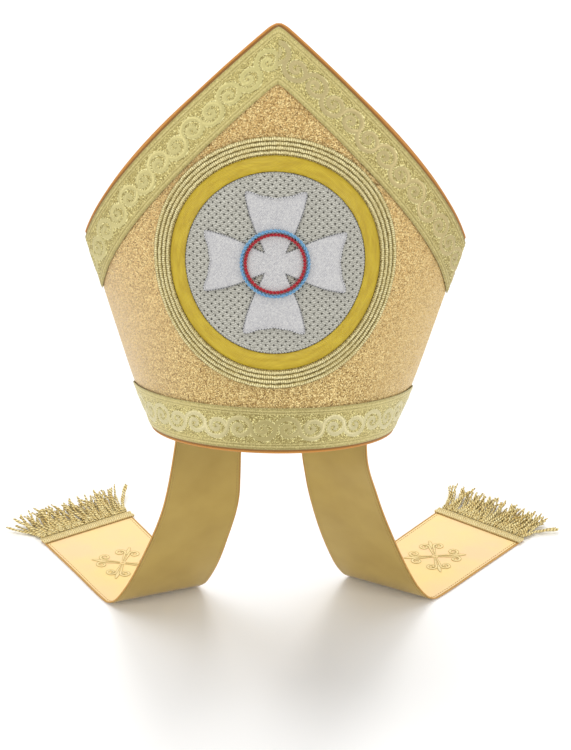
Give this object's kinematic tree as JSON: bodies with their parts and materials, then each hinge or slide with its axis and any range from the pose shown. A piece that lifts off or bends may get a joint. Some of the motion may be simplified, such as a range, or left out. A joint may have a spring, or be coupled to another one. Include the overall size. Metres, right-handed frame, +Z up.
{
  "type": "bishop's mitre",
  "caption": "Bishop's mitre with pointed front and back panels, braid, piping, an embroidered roundel and fringed lappets.",
  "frame": {"origin": "middle of the rim, where the head goes in", "axes": "+Z up, -Y the front of the mitre, +Y behind it where the lappets lie"},
  "size_m": [0.4838, 0.4006, 0.5662],
  "materials": {
    "brocade": "tan-gold lamé with a fine glitter",
    "lining": "plain satin lining",
    "braid": "woven green-gold braid with a running scroll",
    "piping": "orange satin piping",
    "silver_thread": "silver thread basket stitch",
    "yellow_satin": "yellow satin stitch",
    "gold_thread": "twisted gold thread",
    "white_satin": "white satin stitch",
    "red_thread": "red satin stitch",
    "blue_thread": "light blue satin stitch",
    "lappet_cloth": "pale gold brocade, olive-gold lining behind"
  },
  "bodies": {
    "root": {"front_panel": "brocade", "back_panel": "brocade", "crown_lining": "lining", "band_front": "braid", "band_back": "braid", "trim_front_left": "braid", "trim_front_right": "braid", "trim_back_left": "braid", "trim_back_right": "braid", "piping_front": "piping", "piping_back": "piping", "rim_piping": "piping", "emblem_disc": "silver_thread", "emblem_ring_yellow": "yellow_satin", "emblem_ring_gold": "gold_thread", "emblem_cross": "white_satin", "emblem_cord_red": "red_thread", "emblem_cord_blue": "blue_thread", "lappet_left": "lappet_cloth", "lappet_left_piping_outer": "piping", "lappet_left_piping_inner": "piping", "lappet_left_heading": "gold_thread", "lappet_left_fringe": "gold_thread", "lappet_left_cross": "gold_thread", "lappet_right": "lappet_cloth", "lappet_right_piping_outer": "piping", "lappet_right_piping_inner": "piping", "lappet_right_heading": "gold_thread", "lappet_right_fringe": "gold_thread", "lappet_right_cross": "gold_thread"}
  },
  "joints": []
}
